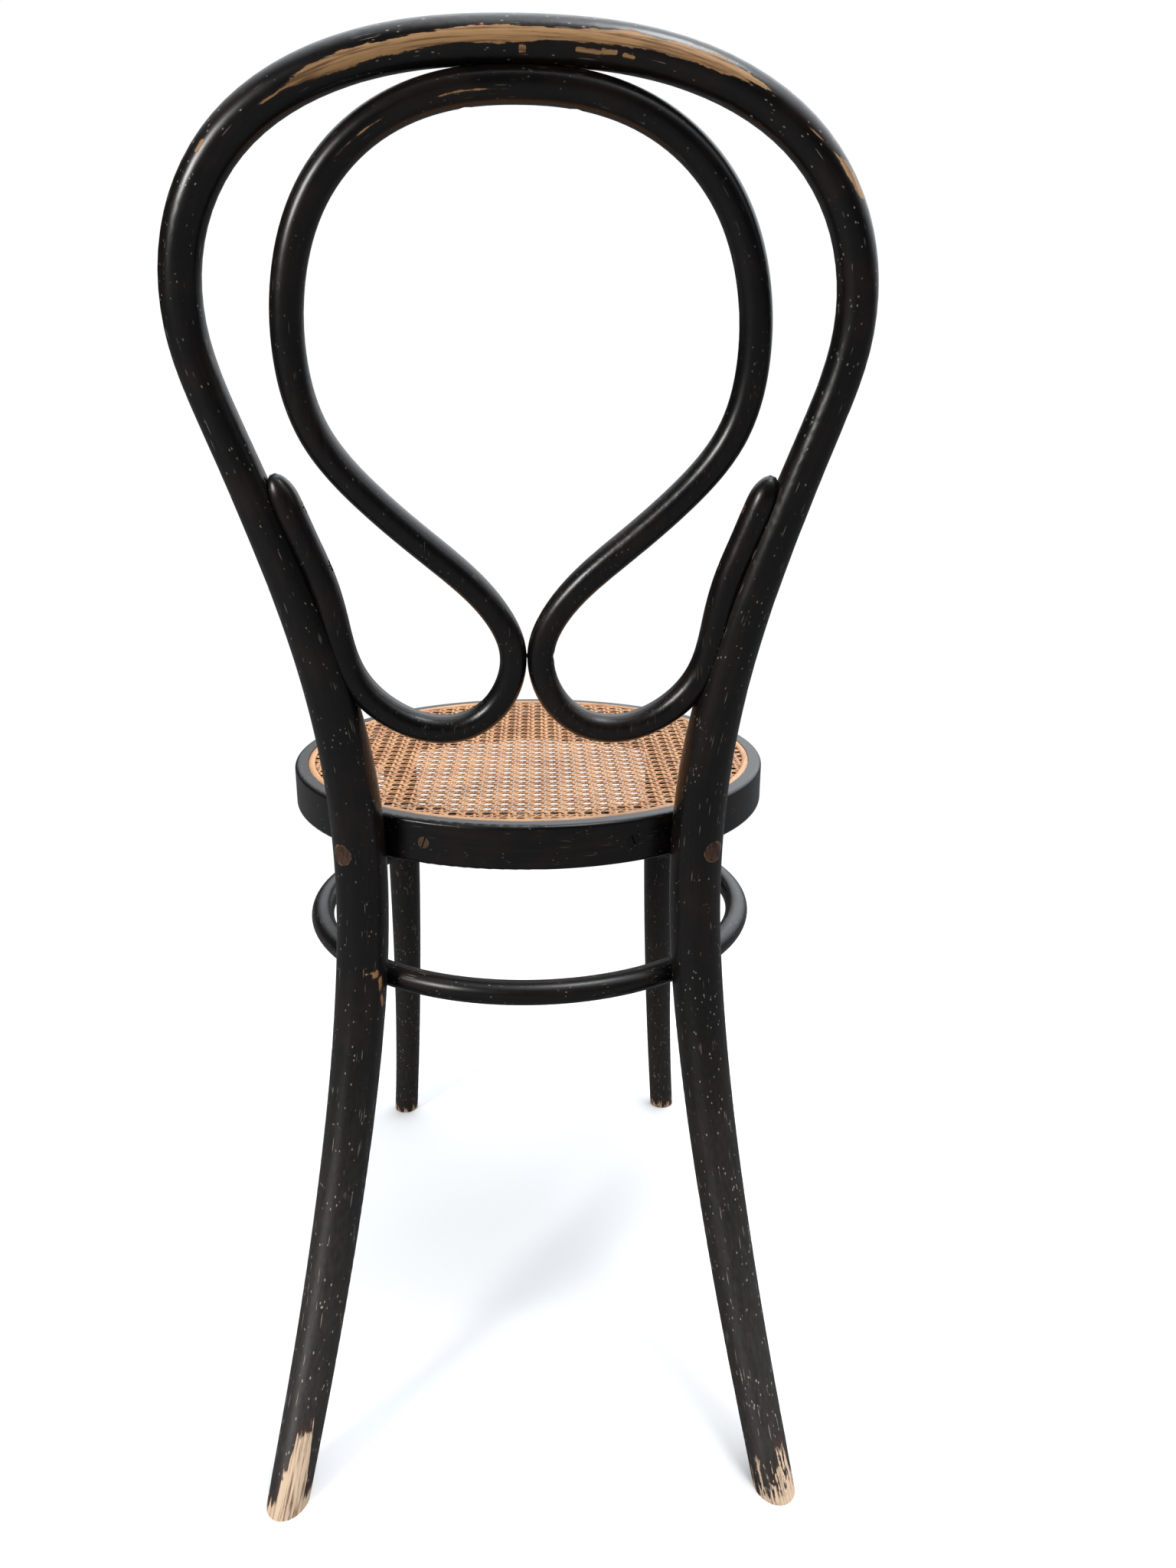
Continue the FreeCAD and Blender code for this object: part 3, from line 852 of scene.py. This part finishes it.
@dataclass
class CaneSeat:
    """The caned panel and its reed.

    Attributes:
        axis_y: depth of the seat's axis.
        top: height of the panel's top at its rim.
        radius: where the strands go under the reed.
        pitch: from one pair of strands to the next.
        spread: from a pair's middle to each of its strands.
        strand_width, strand_thickness: size of a strand.
        pair_wave, slant_wave: how far the pairs and the slanting strands rise and fall.
        sag: how far the middle of the panel hangs down.
        hang_end: share of the radius where the sagging stops.
        rim: share of the radius where the weave begins to flatten under the reed.
        rim_width: share of the radius over which it does.
        rim_flat: how flat it gets there, from 0 to 1.
        map_step: distance from strand to strand on their map.
    """

    axis_y: float
    top: float
    radius: float
    pitch: float = 0.0127
    spread: float = 0.0022
    strand_width: float = 0.0025
    strand_thickness: float = 0.00055
    pair_wave: float = 0.00042
    slant_wave: float = 0.0009
    sag: float = 0.0025
    hang_end: float = 0.95
    rim: float = 0.94
    rim_width: float = 0.05
    rim_flat: float = 0.75
    map_step: float = 7.3

    SLANT = {Strands.LENGTHWISE: 90.0, Strands.CROSSWISE: 0.0,
             Strands.RIGHT_SLANT: 45.0, Strands.LEFT_SLANT: -45.0}
    SAMPLES = {Strands.LENGTHWISE: 200, Strands.CROSSWISE: 200,
               Strands.RIGHT_SLANT: 150, Strands.LEFT_SLANT: 150}

    @classmethod
    def from_frame(cls) -> CaneSeat:
        """Read the panel's size from the frame."""
        low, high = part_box("cane_webbing")
        return cls(axis_y=(low[1] + high[1]) / 2, top=high[2], radius=(high[0] - low[0]) / 2)

    def starts(self, family: Strands) -> np.ndarray:
        """Where the strands of a family lie.

        Args:
            family: which strands.

        Returns:
            Distance of each strand from the seat's middle, square to the strand.
        """
        count = int(self.radius / self.pitch) + 2
        if family in (Strands.LENGTHWISE, Strands.CROSSWISE):
            steps = np.arange(-count, count + 1)
            offsets = np.concatenate([steps * self.pitch - self.spread,
                                      steps * self.pitch + self.spread])
        else:
            steps = np.arange(-2 * count, 2 * count + 1)
            offsets = (steps + 0.5) * self.pitch / math.sqrt(2.0)
        return offsets[np.abs(offsets) < self.radius - self.strand_width]

    def twin(self, across: np.ndarray) -> np.ndarray:
        """1 for the first strand of each pair and -1 for the second, by their place across."""
        steps = (across + self.spread) / self.pitch
        return np.where(np.abs(steps - np.round(steps)) < 0.01, 1.0, -1.0)

    def wave(self, family: Strands, x: np.ndarray, y: np.ndarray) -> np.ndarray:
        """Height of the strands' middle line.

        A pair's strand goes up and down as a sine of the way along it, once a pitch, and its
        twin does the opposite. A slanting strand follows a cosine across the seat: low under
        the lengthwise pairs and high over the crosswise pairs, or the other way round.

        Args:
            family: which strands.
            x, y: places on the seat, in metres from its middle.

        Returns:
            The height at each place, in metres.
        """
        turn = 2.0 * np.pi / self.pitch
        if family is Strands.LENGTHWISE:
            return self.twin(x) * self.pair_wave * np.sin(turn * y)
        if family is Strands.CROSSWISE:
            return -self.twin(y) * self.pair_wave * np.sin(turn * x)
        side = -1.0 if family is Strands.RIGHT_SLANT else 1.0
        return side * self.slant_wave * np.cos(turn * x)

    @staticmethod
    def faces(corners: np.ndarray) -> np.ndarray:
        """Quads of many closed tubes.

        A wall's quad joins two neighbouring corners of one oval to the same two of the next.
        An end is closed by strips across it, from one corner to the one opposite.

        Args:
            corners: corner numbers by strand, oval and side.

        Returns:
            Four corner numbers to a row.
        """
        beside = np.roll(corners, -1, axis=2)
        wall = np.stack([corners[:, :-1], corners[:, 1:], beside[:, 1:], beside[:, :-1]], axis=-1)
        quads = [wall.reshape(-1, 4)]
        sides = corners.shape[2]
        first = np.arange(sides // 2 - 1)
        for end, order in ((0, 1), (-1, -1)):
            rim = corners[:, end]
            strip = np.stack([rim[:, first], rim[:, first + 1],
                              rim[:, sides - 2 - first], rim[:, sides - 1 - first]], axis=-1)
            quads.append(strip[..., ::order].reshape(-1, 4))
        return np.concatenate(quads)

    def weave(self, family: Strands, sides: int = 8) -> bpy.types.Object:
        """Build one family of strands.

        Each strand is a chord of the seat's circle. A point on it is the chord's middle plus
        the way along it, raised by the weave, and an oval is carried along that line.

        Args:
            family: which strands.
            sides: number of points round each oval.

        Returns:
            The piece.
        """
        slant = math.radians(self.SLANT[family])
        way = np.array([math.cos(slant), math.sin(slant)])
        across = np.array([way[1], -way[0]])
        starts = self.starts(family)
        reach = np.sqrt(self.radius ** 2 - starts ** 2)
        run = np.linspace(-1.0, 1.0, self.SAMPLES[family])[None, :] * reach[:, None]
        x = starts[:, None] * across[0] + run * way[0]
        y = starts[:, None] * across[1] + run * way[1]
        out = np.hypot(x, y) / self.radius
        settle = 1.0 - self.rim_flat * np.clip((out - self.rim) / self.rim_width, 0.0, 1.0)
        hang = self.sag * (1.0 - np.clip(out / self.hang_end, 0.0, 1.0) ** 2)
        middle = self.top - self.strand_thickness - self.pair_wave
        z = middle - hang + settle * self.wave(family, x, y)
        turn = np.linspace(0.0, 2.0 * np.pi, sides, endpoint=False)
        wide = np.cos(turn) * self.strand_width / 2.0
        high = np.sin(turn) * self.strand_thickness / 2.0
        points = np.stack([
            x[..., None] + across[0] * wide,
            y[..., None] + across[1] * wide + self.axis_y,
            z[..., None] + high,
        ], axis=-1)
        corners = np.arange(points[..., 0].size).reshape(points.shape[:3])
        faces = self.faces(corners)
        strand = np.arange(len(starts))[:, None, None] * self.map_step
        along_map = np.broadcast_to(run[..., None], corners.shape).ravel()
        across_map = (strand + np.broadcast_to(np.cos(turn), corners.shape)).ravel()
        maps = np.stack([along_map[faces], across_map[faces]], axis=-1)
        return mesh_piece(family.value, points.reshape(-1, 3), faces, maps)

    def build(self) -> None:
        """Build and dress the four families of strands, in place of the plain panel."""
        finish = CaneFinish().make("cane")
        for family in Strands:
            piece = self.weave(family)
            piece.data.materials.append(finish)
            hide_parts("cane_webbing")
            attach(piece, BODY)
            log.info("%s: %d faces", piece.name, len(piece.data.polygons))


@dataclass
class BentFrame:
    """The bent and turned wood of the chair, with its plugs and screws.

    Attributes:
        nodes: the chair's own solids by name.
        seat_y: depth of the seat's axis.
        foot_ring_y: depth of the foot ring's axis.
    """

    nodes: dict[str, bpy.types.Object]
    seat_y: float
    foot_ring_y: float

    STEEL = ("leg_bolts", "leg_bolt_washers", "leg_bolt_nuts", "foot_ring_screws",
             "loop_end_screws", "crown_screws", "throat_screw")
    TOE = (0.1445, -0.244, 0.0)
    TOE_SIZE = (0.02, 0.02, 0.012)

    @classmethod
    def from_frame(cls, nodes: dict[str, bpy.types.Object]) -> BentFrame:
        """Find the two rings' axes in the frame."""
        seat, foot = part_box("seat_ring"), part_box("foot_ring")
        return cls(nodes, (seat[0][1] + seat[1][1]) / 2, (foot[0][1] + foot[1][1]) / 2)

    def dress(self, node: str, material: bpy.types.Material) -> None:
        """Give a solid its material.

        Args:
            node: the solid's name.
            material: what it gets.
        """
        slots = self.nodes[node].data.materials
        slots.clear()
        slots.append(material)
        log.info("%s: %s", node, material.name)

    def hoop_finish(self) -> Ebonised:
        """The hoop: rubbed bare along the crown and at both rear feet, and chipped on one leg.

        Returns:
            The finish.
        """
        strokes = (
            WornStroke(0.0, 42.0, 7.0, 18.0, drift=-0.45, ragged=0.8),
            WornStroke(-11.0, 2.4, -24.0, 7.0, ragged=1.2, fade=0.8),
            WornStroke(-14.2, 1.6, -21.0, 6.0, ragged=1.2, fade=0.6),
            WornStroke(-17.5, 1.2, -23.0, 4.0, ragged=0.5),
            WornStroke(-0.4, 0.7, -26.0, 10.0, ragged=0.6, fade=0.3),
            WornStroke(-55.0, 8.0, 30.0, 2.0, drift=-1.9, ragged=0.4),
            WornStroke(-60.0, 4.5, 45.0, 12.0, drift=-1.5, ragged=0.5),
            WornStroke(55.0, 1.5, 30.0, 5.0, ragged=0.5),
            WornStroke(62.0, 7.0, 72.0, 9.0, ragged=0.7, fade=0.5),
        )
        patches = (
            WearPatch((0.1160, 0.115, 0.344), (0.0022, 0.05, 0.0030), 0.9),
            WearPatch((0.1135, 0.115, 0.336), (0.0016, 0.05, 0.0060), 0.9),
            WearPatch((0.1128, 0.115, 0.322), (0.0010, 0.05, 0.0060), 0.9),
            WearPatch((0.1185, 0.115, 0.346), (0.0040, 0.05, 0.0010), 0.6),
        )
        feet = (WornFoot(1, 0.010, ((-0.08, 0.58, 0.018), (-0.19, 0.35, 0.024)), 0.35),
                WornFoot(-1, 0.015, ((0.55, 0.45, 0.016), (-0.3, 0.3, 0.010)), 0.9))
        return Ebonised(GrainWay.CROWN, HOOP_LINE, strokes=strokes, feet=feet, scuffs=0.9,
                        patches=patches)

    def loop_finish(self) -> Ebonised:
        """The inner loop: two worn strokes on the back of its crown.

        Returns:
            The finish.
        """
        strokes = (
            WornStroke(11.0, 10.0, -16.0, 11.0, ragged=0.6, fade=3.4),
            WornStroke(39.0, 8.0, -10.0, 4.5, drift=0.3, ragged=0.4, fade=1.1),
        )
        return Ebonised(GrainWay.CROWN, LOOP_LINE, strokes=strokes, scuffs=0.3)

    def plug_finish(self) -> bpy.types.Material:
        """The plugs' wood, with its rim placed from their box and their turn.

        Returns:
            The material.
        """
        low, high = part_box("leg_plugs")
        radius = (high[2] - low[2]) / 2
        centre = (high[0] - radius * math.cos(PLUG_TURN), (low[2] + high[2]) / 2)
        return PlugWood().make("plug_wood", centre, radius)

    def build(self) -> None:
        """Dress every solid of the frame."""
        self.dress("back_hoop", self.hoop_finish().make("ebonised_hoop"))
        self.dress("inner_loop", self.loop_finish().make("ebonised_loop"))
        ring = Ebonised(GrainWay.ROUND_SEAT, seat_y=self.seat_y, scuffs=0.3)
        self.dress("seat_ring", ring.make("ebonised_seat_ring"))
        foot = Ebonised(GrainWay.ROUND_SEAT, seat_y=self.foot_ring_y, scuffs=0.6)
        self.dress("foot_ring", foot.make("ebonised_foot_ring"))
        toe_x, *toe = self.TOE
        toes = tuple(WearPatch((side * toe_x, *toe), self.TOE_SIZE, 0.75) for side in (1, -1))
        leg = Ebonised(GrainWay.UPRIGHT, scuffs=0.8, patches=toes).make("ebonised_front_leg")
        self.dress("front_leg_right", leg)
        self.dress("front_leg_left", leg)
        self.dress("leg_plugs", self.plug_finish())
        steel = OldSteel().make("old_steel")
        for node in self.STEEL:
            self.dress(node, steel)
        half_painted = OldSteel(painted_side=-1).make("half_painted_steel")
        self.dress("seat_ring_screws", half_painted)
        reed = CaneFinish(paint(214, 164, 116), paint(170, 112, 66), paint(140, 88, 50))
        self.dress("cane_reed", reed.make("reed", self.seat_y))


@dataclass(frozen=True)
class SoftLamp:
    """A square soft lamp.

    Attributes:
        name: the lamp's name.
        place: where it hangs, in metres.
        size: length of its side, in metres.
        power: in watts.
        colour: of its light.
        aim: the point it shines towards.
    """

    name: str
    place: Triple
    size: float
    power: float
    colour: Colour
    aim: Triple = (0.0, 0.0, 0.5)

    def hang(self) -> None:
        """Put the lamp in the scene."""
        data = bpy.data.lights.new(self.name, "AREA")
        data.size = self.size
        data.energy = self.power
        data.color = self.colour
        lamp = bpy.data.objects.new(self.name, data)
        turn = (Vector(self.aim) - Vector(self.place)).to_track_quat("-Z", "Y")
        lamp.matrix_world = Matrix.Translation(self.place) @ turn.to_matrix().to_4x4()
        bpy.context.scene.collection.objects.link(lamp)


@dataclass
class Studio:
    """A pale floor, soft lamps and the camera of the photograph.

    Attributes:
        eye: the camera's place, in metres.
        yaw, pitch, roll: its turns, in radians, from looking along -Y.
        focal: focal length in pixels of a picture picture_height pixels high.
        floor_reach: half the floor's side, in metres.
        floor_fade: from where to where the floor turns into the white backdrop, in metres.
        lamps: the two soft lamps.
    """

    eye: Triple = (-0.008, 0.933, 0.746)
    yaw: float = 0.043
    pitch: float = 0.301
    roll: float = 0.006
    focal: float = 1545.0
    picture_height: float = 2048.0
    floor_reach: float = 12.0
    floor_fade: tuple[float, float] = (0.40, 1.1)
    lamps: tuple[SoftLamp, ...] = (
        SoftLamp("high_window", (-0.7, 0.5, 2.8), 0.7, 24.0, (0.94, 0.98, 1.0)),
        SoftLamp("left_window", (1.9, 1.7, 1.5), 0.6, 36.0, (1.0, 0.99, 0.97)),
    )

    WHITE = (1.0, 1.0, 1.0)
    FLOOR_SEEN = (0.96, 0.96, 0.96)
    FLOOR_LIT = (0.12, 0.12, 0.12)
    SKY_LOW = (0.02, 0.02, 0.02)
    SKY_HIGH = (2.2, 2.3, 2.42)

    def camera(self) -> None:
        """Place the camera: forward, right and up from the three turns."""
        ahead = Vector((-math.sin(self.yaw) * math.cos(self.pitch),
                        -math.cos(self.yaw) * math.cos(self.pitch), -math.sin(self.pitch)))
        right = ahead.cross(Vector((0.0, 0.0, 1.0))).normalized()
        up = right.cross(ahead)
        level = math.cos(self.roll) * right + math.sin(self.roll) * up
        upright = -math.sin(self.roll) * right + math.cos(self.roll) * up
        data = bpy.data.cameras.new("camera")
        data.sensor_fit = "VERTICAL"
        data.sensor_height = 36.0
        data.lens = data.sensor_height * self.focal / self.picture_height
        data.clip_start = 0.01
        camera = bpy.data.objects.new("camera", data)
        turn = Matrix((level, upright, -ahead)).transposed().to_4x4()
        camera.matrix_world = Matrix.Translation(self.eye) @ turn
        bpy.context.scene.collection.objects.link(camera)
        bpy.context.scene.camera = camera

    def floor(self) -> None:
        """A wide pale floor that fades to the white of the backdrop away from the chair.

        What the camera sees of it is pale. The chair gets the light of a darker floor, as the
        black rods in the photograph do.
        """
        far = self.floor_reach
        points = np.array([[-far, -far, 0.0], [far, -far, 0.0], [far, far, 0.0], [-far, far, 0.0]])
        floor = mesh_piece("floor", points, np.array([[0, 1, 2, 3]]))
        s = Shader("pale_floor")
        away = (s.x * s.x + s.y * s.y) ** 0.5
        seen = s.field("ShaderNodeLightPath", {}, {}, "Is Camera Ray")
        pale = s.blend(seen, self.FLOOR_LIT, self.FLOOR_SEEN)
        matt = s.node("ShaderNodeBsdfDiffuse", {}, {"Color": pale})
        glow = s.node("ShaderNodeEmission", {}, {"Color": self.WHITE, "Strength": 1.0})
        fade = seen * away.rise(*self.floor_fade)
        both = {0: fade, 1: matt.outputs[0], 2: glow.outputs[0]}
        mixed = s.node("ShaderNodeMixShader", {}, both)
        s.node("ShaderNodeOutputMaterial", {}, {"Surface": mixed.outputs[0]})
        floor.data.materials.append(s.material)

    def sky(self) -> None:
        """White behind the chair. On the chair: a cool bright sky over a dark horizon.

        The sky is brightest overhead and a little to the front and to -X.
        """
        world = bpy.data.worlds.new("studio")
        world.use_nodes = True
        n = Nodes(world.node_tree)
        x, y, z = n.parts(n.node("ShaderNodeTexCoord").outputs["Generated"])
        high = z - x * 0.35 - y * 0.45
        dome = n.blend(high.rise(0.35, 1.1), self.SKY_LOW, self.SKY_HIGH)
        light = n.node("ShaderNodeBackground", {}, {"Color": dome, "Strength": 1.0})
        white = n.node("ShaderNodeBackground", {}, {"Color": self.WHITE, "Strength": 1.0})
        seen = n.field("ShaderNodeLightPath", {}, {}, "Is Camera Ray")
        both = {0: seen, 1: light.outputs[0], 2: white.outputs[0]}
        mixed = n.node("ShaderNodeMixShader", {}, both)
        n.node("ShaderNodeOutputWorld", {}, {"Surface": mixed.outputs[0]})
        bpy.context.scene.world = world

    def build(self) -> None:
        """Set the stage."""
        self.camera()
        self.floor()
        self.sky()
        for lamp in self.lamps:
            lamp.hang()
        bpy.context.scene.view_settings.view_transform = "Standard"


def main() -> None:
    """Build the chair's looks round the frame."""
    logging.basicConfig(level=logging.INFO, format="%(name)s: %(message)s")
    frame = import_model()
    BentFrame.from_frame(frame["nodes"]).build()
    CaneSeat.from_frame().build()
    Studio().build()


if __name__ == "__main__":
    main()
